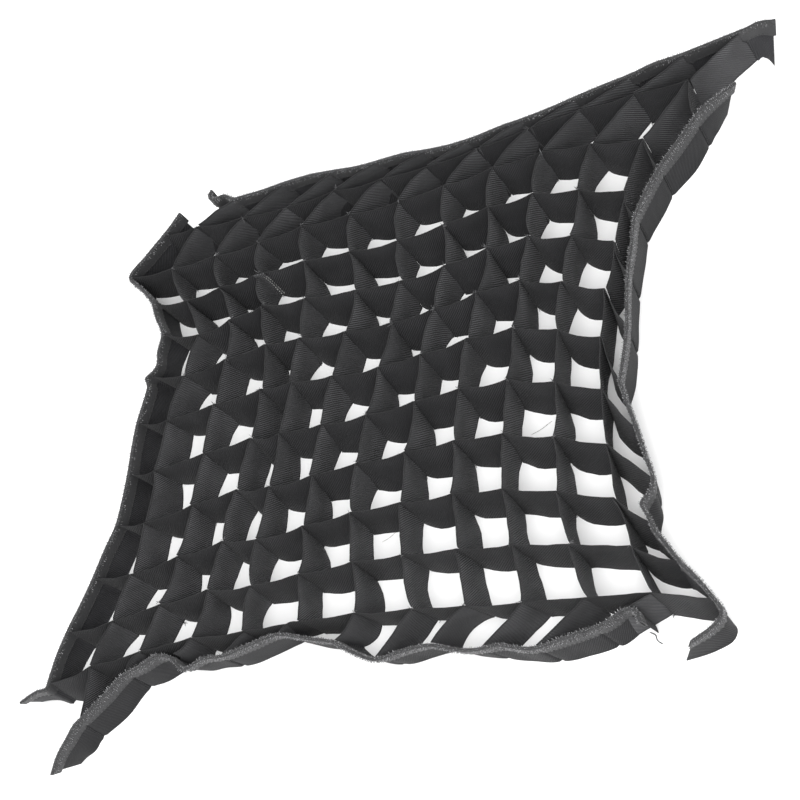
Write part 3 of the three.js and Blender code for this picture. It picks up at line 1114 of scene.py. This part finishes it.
@dataclass
class BorderHalf(StandingCloth):
    """Half of a border band, from its middle crossing out to the end of its free tail, with its folded hook
    tape."""

    tail: Tail = TAILS[0]
    thickness: float = 0.55  # mm
    edge_thickness: float = 0.7
    step: float = 2.6  # mm between two columns of points
    tape_leg: float = 12.5  # mm of tape on each face
    tape_thickness: float = 0.8
    tape_offset: float = 1.05  # mm from the middle of the band to the middle of the tape
    tape_overrun: float = 2.0  # mm that the tape sticks out past the band
    hook_pitch: float = 1.8  # mm
    hook_height: float = 1.6  # mm
    # share of hooks that are missing, on the outer and the inner leg
    hook_gaps: tuple[float, float] = (0.08, 0.5)
    inner_hooks: float = 0.55  # height of the inner leg's hooks, as a share of the outer leg's
    plain_edge: float = 7.6  # mm from the foot of each leg to its first hooks, and 2 mm more on the inner leg
    middle_line: int = 6

    def __post_init__(self) -> None:
        """Draws the band's own bulges."""
        order = 10 * list(BORDER_LAYS).index(self.tail.side) + self.tail.end.value
        self.draw = np.random.default_rng(500 + order)
        count = len(self.line.marks) - len(self.tail.points) - 1
        self.crossings = self.line.marks[:count:2]
        self.fold_at = float(self.line.marks[count])
        self.length = float(self.line.lengths[-1])
        self.flare = self.draw.uniform(-0.5, 3.2, len(self.crossings)) * MM
        low, high = sorted((self.middle_line, self.tail.end.value))
        self.pushes = [p for p in PUSHES if p.side is self.tail.side and low < p.line < high]

    @classmethod
    def of(cls, lay: Lay, tail: Tail) -> "BorderHalf":
        """Makes the half that ends in a tail."""
        path = lay.border(tail.side)
        middle = 2 * (cls.middle_line - 1)
        half = path[middle::-1] if tail.end is End.NEAR else path[middle:]
        return cls(lay, Line.through(lay.frame_points([*half, lay.fold(tail), *tail.points])), tail)

    def leans(self) -> tuple[np.ndarray, np.ndarray]:
        """The lean at every crossing out to the tail's fold, and at the tail's end."""
        side, end = self.tail.side, self.tail.end.value
        step = 1 if end > self.middle_line else -1
        lines = [*range(self.middle_line, end + step, step), end]
        across = 0 if side in (Side.FRONT, Side.LEFT) else SPANS
        along_rows = side in (Side.LEFT, Side.RIGHT)
        found = [self.lay.lean(n, across) if along_rows else self.lay.lean(across, n) for n in lines]
        return np.array([*self.crossings, self.fold_at, self.length]), np.array([*found, self.tail.lean])

    def title(self, what: str) -> str:
        """The name of a piece of this half, such as front_band_left."""
        return f"{self.tail.side.value}_{what}_{self.tail.towards.value}"

    def sway(self, s: np.ndarray, z: np.ndarray) -> np.ndarray:
        """The band's bulges between the ribbons sewn to it, and the pucker at each line of stitches."""
        span = np.clip(np.searchsorted(self.crossings, s, side="right") - 1, 0, len(self.crossings) - 1)
        nexts = np.append(self.crossings[1:], self.length)
        share = np.clip((s - self.crossings[span]) / (nexts[span] - self.crossings[span]), 0, 1)
        low = np.clip(1 - z / DEPTH, 0, 1)
        bulge = np.sin(np.pi * share) * self.flare[span] * low**1.2
        ripple = 0.35 * MM * np.sin(150 * s + 0.07 * z) * np.sin(np.pi * share) * low
        near = np.abs(s[..., None] - self.crossings).min(-1)
        pucker = -1.2 * MM * np.exp(-((near / (1.3 * MM)) ** 2)) * ease((DEPTH - 6 - z) / 6)
        pushed = np.zeros(s.shape)
        for push in self.pushes:
            near = (s - self.line_at(push.line)) / (push.reach * MM)
            pushed = pushed + push.outwards * MM * np.exp(-(near**2)) * (
                0.25 + 0.75 * np.clip(z / DEPTH, 0, 1)
            )
        return (bulge + ripple + pucker + pushed) * self.tail.outward

    def line_at(self, line: float) -> float:
        """The length at which a count of crossings lies."""
        return float(np.interp(abs(line - self.middle_line), np.arange(len(self.crossings)), self.crossings))

    def place(self, s: np.ndarray, offset: np.ndarray, z: np.ndarray) -> np.ndarray:
        """Finds points on or beside the band: offset is in mm outwards."""
        return super().place(s, np.asarray(offset) * self.tail.outward, z)

    def across_fold(self, made: bpy.types.Object) -> None:
        """Bakes a piece's placement into its points. It finds the two ends of the fold, but the piece does not
        bend there.
        """
        reach = 3.4 * MM
        at = np.array([self.fold_at])
        fold, run = self.line.at(at)[0], self.line.along(np.array([self.fold_at - 2 * MM]))[0]
        start, end = fold - reach * run, fold + reach * run
        self.tail.body
        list(start)
        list(end)
        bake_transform(made)

    def sheet(
        self,
        name: str,
        s: np.ndarray,
        face: tuple,
        rear: tuple,
        weave: np.ndarray,
        material: bpy.types.Material,
    ) -> bpy.types.Object:
        """Makes a closed sheet from two profiles of offset and height, along lengths s."""
        faces = [self.place(s[:, None], np.array(o)[None], np.array(z)[None]) for o, z in (face, rear)]
        if self.tail.outward < 0:
            faces.reverse()
        start = WEAVE_APART * (self.tail.end.value + 20 * list(BORDER_LAYS).index(self.tail.side))
        grid = np.stack(np.broadcast_arrays(s[:, None] / MM + start, weave[None]), -1)
        # the inner face takes the reverse mark, which the band's finish paints lighter as painted light
        marks = (0.0, REVERSE) if self.tail.outward > 0 else (REVERSE, 0.0)
        return cloth_object(name, faces[0], faces[1], grid, material, marks=marks)

    def stations(self, end: float) -> np.ndarray:
        """The lengths at which a sheet has points: evenly spaced, and closer beside each line of stitches."""
        even = np.linspace(0, end, int(end / MM / self.step) + 1)
        close = (self.crossings[1:, None] + np.array([-2.4, -1.2, 0, 1.2, 2.4]) * MM).ravel()
        clear = np.abs(even[:, None] - self.crossings[1:]).min(-1) > 3.2 * MM
        return np.unique(np.concatenate([even[clear], close, [end]]))

    def build_band(self, finishes: Finishes) -> bpy.types.Object:
        """Builds the band and its tail as one sheet."""
        s = self.stations(self.length)
        z = np.array([0, 1.5, 5, 9, 13, 17, 21, 25, 29, 34, 38.5, DEPTH])
        thick = np.where((z < 2) | (z > DEPTH - 2), self.edge_thickness, self.thickness) / 2
        made = self.sheet(self.title("band"), s, (thick, z), (-thick, z), z, finishes.band)
        return made

    def profile(self, lift: float) -> tuple[np.ndarray, np.ndarray]:
        """The section of the folded tape, from the foot of its outer leg over the band to its inner foot.

        Args:
            lift: mm from the middle of the tape's thickness, positive on its hooked face.

        Returns:
            Offsets and heights in mm.
        """
        low = DEPTH - self.tape_leg
        turn = np.radians(np.arange(0, 181, 30))
        radius = self.tape_offset + lift
        legs = np.array([low, low + 0.9, low + 1.8, low + 3.2, low + 5.6, low + 8.2, DEPTH - 1.6])
        offset = np.concatenate(
            [np.full(len(legs), radius), radius * np.cos(turn), np.full(len(legs), -radius)]
        )
        height = np.concatenate([legs, DEPTH - 0.4 + radius * np.sin(turn), legs[::-1]])
        pinch = np.where(height < low + 1.5, 0.2, 0.0)
        return offset - np.sign(offset) * pinch, height

    def build_tape(self, finishes: Finishes) -> bpy.types.Object:
        """Builds the hook tape's ground, folded over the band's top edge."""
        end = self.length + self.tape_overrun * MM
        s = self.stations(end)
        half = self.tape_thickness / 2
        hooked, plain = self.profile(half), self.profile(-half)
        travel = np.concatenate([[0], np.cumsum(np.hypot(*(np.diff(a) for a in self.profile(0.0))))])
        made = self.sheet(self.title("tape"), s, plain, hooked, travel, finishes.ground)
        return made

    def build_hooks(self, finishes: Finishes) -> bpy.types.Object:
        """Builds the tape's hooks: short bent prongs in rows, on its hooked face but not on its plain edges.

        Real hooks are 0.2 mm thick. These are about twice that and further apart, so that they show."""
        offset, height = self.profile(self.tape_thickness / 2)
        travel = np.concatenate([[0], np.cumsum(np.hypot(np.diff(offset), np.diff(height)))])
        q = np.arange(self.plain_edge, travel[-1] - self.plain_edge - 2.0, self.hook_pitch * 0.9)
        s = np.arange(0.5, self.length / MM + self.tape_overrun - 0.6, self.hook_pitch)
        s, q = (a.ravel() for a in np.meshgrid(s, q))
        draw = self.draw
        s = s + draw.uniform(-0.55, 0.55, s.shape)
        q = q + draw.uniform(-0.45, 0.45, q.shape)
        inner = q > travel[-1] / 2 + 1.5
        kept = draw.random(s.shape) > np.where(inner, self.hook_gaps[1], self.hook_gaps[0])
        s, q = s[kept][:, None], q[kept][:, None]
        o, z = np.interp(q, travel, offset), np.interp(q, travel, height)
        ahead = np.interp(q + 0.3, travel, offset) - o, np.interp(q + 0.3, travel, height) - z
        size = np.maximum(np.hypot(*ahead), 1e-9)
        across = ahead[0] / size, ahead[1] / size
        out = across[1], -across[0]
        tall = self.hook_height * draw.uniform(0.75, 1.25, s.shape) * np.where(
            inner[kept], self.inner_hooks, 1.0
        )[:, None]
        bend_q = draw.choice([-1.0, 1.0], s.shape) * draw.uniform(0.3, 0.8, s.shape)
        bend_s = draw.uniform(-0.6, 0.6, s.shape)
        turn = np.radians([90, 210, 330])
        thick = 0.24
        ring_s, ring_q = thick * np.cos(turn), thick * np.sin(turn)
        along = np.concatenate([s + ring_s, s + 0.4 * bend_s + 0.85 * ring_s, s + bend_s], 1)
        side = np.concatenate([0 * s + ring_q, 0.35 * bend_q + 0.85 * ring_q, bend_q], 1)
        rise = np.concatenate([0 * s - 0.2 + 0 * ring_q, 0.7 * tall + 0 * ring_q, tall], 1)
        points = self.place(
            along * MM,
            o + side * across[0] + rise * out[0],
            z + side * across[1] + rise * out[1],
        )
        template = np.array([[0, 1, 4, 3], [1, 2, 5, 4], [2, 0, 3, 5]])
        tips = np.array([[3, 4, 6], [4, 5, 6], [5, 3, 6]])
        base = np.array([[2, 1, 0]])
        if self.tail.outward > 0:
            template, tips, base = template[:, ::-1], tips[:, ::-1], base[:, ::-1]
        start = np.arange(len(points))[:, None, None] * 7
        faces = [
            list(f) for part in (template, tips, base) for f in (start + part).reshape(-1, part.shape[1])
        ]
        return new_object(self.title("hooks"), points.reshape(-1, 3), faces, finishes.hook)

    def stitch(self, bits: Bits, s: tuple[float, float], offset: float, z: tuple[float, float]) -> None:
        """Adds one stitch that comes out of the cloth and goes back in, from one length and height to
        another."""
        t = np.array([0.0, 0.18, 0.5, 0.82, 1.0])
        sink = np.sign(offset) * np.array([-0.3, 0.12, 0.2, 0.12, -0.3])
        path = self.place(s[0] + t * (s[1] - s[0]), offset + sink, z[0] + t * (z[1] - z[0]))
        bits.tube(path, 0.3 * MM, 4)

    def build_stitches(self, finishes: Finishes) -> bpy.types.Object:
        """Builds the row of stitches along the tape's lower edges, and an upright line at each ribbon sewn
        on."""
        bits = Bits()
        length, gap = 2.7 * MM, 1.1 * MM
        foot = DEPTH - self.tape_leg + 1.5
        face = self.tape_offset + self.tape_thickness / 2 - 0.05
        for start in np.arange(1.5 * MM, self.length - 2 * length, length + gap):
            for side in (1, -1):
                self.stitch(bits, (start, start + length), side * face, (foot, foot))
        for mark in self.crossings:
            for low in np.arange(1.5, foot - 3, 3.0):
                drift = self.draw.uniform(-0.25, 0.25) * MM
                for side in (1, -1):
                    at = mark + 1.1 * MM * side + drift
                    self.stitch(bits, (at, at + drift), side * (self.thickness / 2 + 0.05), (low, low + 2.7))
        return bits.object(self.title("stitches"), finishes.thread)

    def build(self, finishes: Finishes) -> list[bpy.types.Object]:
        """Builds the half with its tape, hooks and stitches."""
        side, towards = self.tail.side.value, self.tail.towards.value
        band, tape = self.build_band(finishes), self.build_tape(finishes)
        hooks, stitches = self.build_hooks(finishes), self.build_stitches(finishes)
        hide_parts(f"{side}_border_{towards}_tail")
        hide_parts(f"{side}_hook_tape_{towards}_tail")
        if self.tail.end is End.NEAR:
            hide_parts(f"{side}_border")
            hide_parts(f"{side}_hook_tape")
        for made, slot in (
            (band, "border_ribbon"), (tape, "hook_tape"), (hooks, "hook_tape"), (stitches, "border_ribbon")
        ):
            self.across_fold(made)
        return [band, tape, hooks, stitches]


# ----------------------------------------------------------------------------------------------------- studio


@dataclass
class Studio:
    """A pale table under broad soft light, and the camera."""

    target: Vector
    azimuth_deg: float = 50.0
    elevation_deg: float = 55.0
    roll_deg: float = -45.0
    lens: float = 120.0  # mm
    distance: float = 2.168  # metres
    sky: float = 1.38
    key: float = 56.0  # watts

    def build_camera(self) -> None:
        """Makes the scene's camera, turned so that the grid's front edge runs along the foot of the frame."""
        a, e, r = (math.radians(x) for x in (self.azimuth_deg, self.elevation_deg, self.roll_deg))
        back = Vector((math.sin(a) * math.cos(e), -math.cos(a) * math.cos(e), math.sin(e)))
        level = Vector((math.cos(a), math.sin(a), 0))
        upright = back.cross(level)
        right = math.cos(r) * level + math.sin(r) * upright
        up = back.cross(right)
        data = bpy.data.cameras.new("camera")
        data.lens, data.sensor_width, data.clip_end = self.lens, 36.0, 50.0
        camera = bpy.data.objects.new("camera", data)
        place = Matrix((right, up, back)).transposed().to_4x4()
        place.translation = self.target + back * self.distance
        camera.matrix_world = place
        bpy.context.scene.collection.objects.link(camera)
        bpy.context.scene.camera = camera

    def build_lights(self) -> None:
        """Makes an even white surround and one very large soft light above."""
        world = bpy.data.worlds.new("white surround")
        world.use_nodes = True
        surround = next(n for n in world.node_tree.nodes if n.type == "BACKGROUND")
        surround.inputs["Color"].default_value = (1, 1, 1, 1)
        surround.inputs["Strength"].default_value = self.sky
        bpy.context.scene.world = world
        data = bpy.data.lights.new("overhead softbox", "AREA")
        data.shape, data.size, data.energy = "SQUARE", 1.8, self.key
        light = bpy.data.objects.new("overhead softbox", data)
        light.location = (0.5, -0.9, 2.0)
        light.rotation_euler = (-light.location).to_track_quat("-Z", "Y").to_euler()
        bpy.context.scene.collection.objects.link(light)

    def build_table(self) -> None:
        """Makes the table top, far larger than the frame."""
        half = 12.0
        corners = np.array(
            [(x, y, -0.3 * MM) for x, y in ((-half, -half), (half, -half), (half, half), (-half, half))]
        )
        new_object("table_top", corners, [[0, 1, 2, 3]], TableTop().material())

    def build(self) -> None:
        """Makes the table, the lights and the camera, and shows colours as they are."""
        self.build_camera()
        self.build_lights()
        self.build_table()
        bpy.context.scene.view_settings.view_transform = "Standard"


def main() -> None:
    """Builds the studio and every piece of the grid in order."""
    logging.basicConfig(level=logging.INFO, format="%(message)s")
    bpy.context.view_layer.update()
    lay = Lay()
    lay.settle()
    Studio(Vector((*lay.offset, DEPTH / 2 * MM))).build()
    finishes = Finishes.make()
    ribbons = [InteriorRibbon.of(lay, run, n) for run in Run for n in range(1, LINES + 1)]
    for ribbon in ribbons:
        made = ribbon.build(finishes)
        log.info(
            "%s: %.0f mm long, %d faces", made.name, ribbon.line.lengths[-1] / MM, len(made.data.polygons)
        )
    trims = [
        SlitFrays(ribbons).build(finishes), *SewnFlap(lay).build(finishes), *LooseThreads(lay).build(finishes)
    ]
    halves = [made for tail in TAILS for made in BorderHalf.of(lay, tail).build(finishes)]
    for made in trims + halves:
        log.info("%s: %d faces", made.name, len(made.data.polygons))


if __name__ == "__main__":
    main()
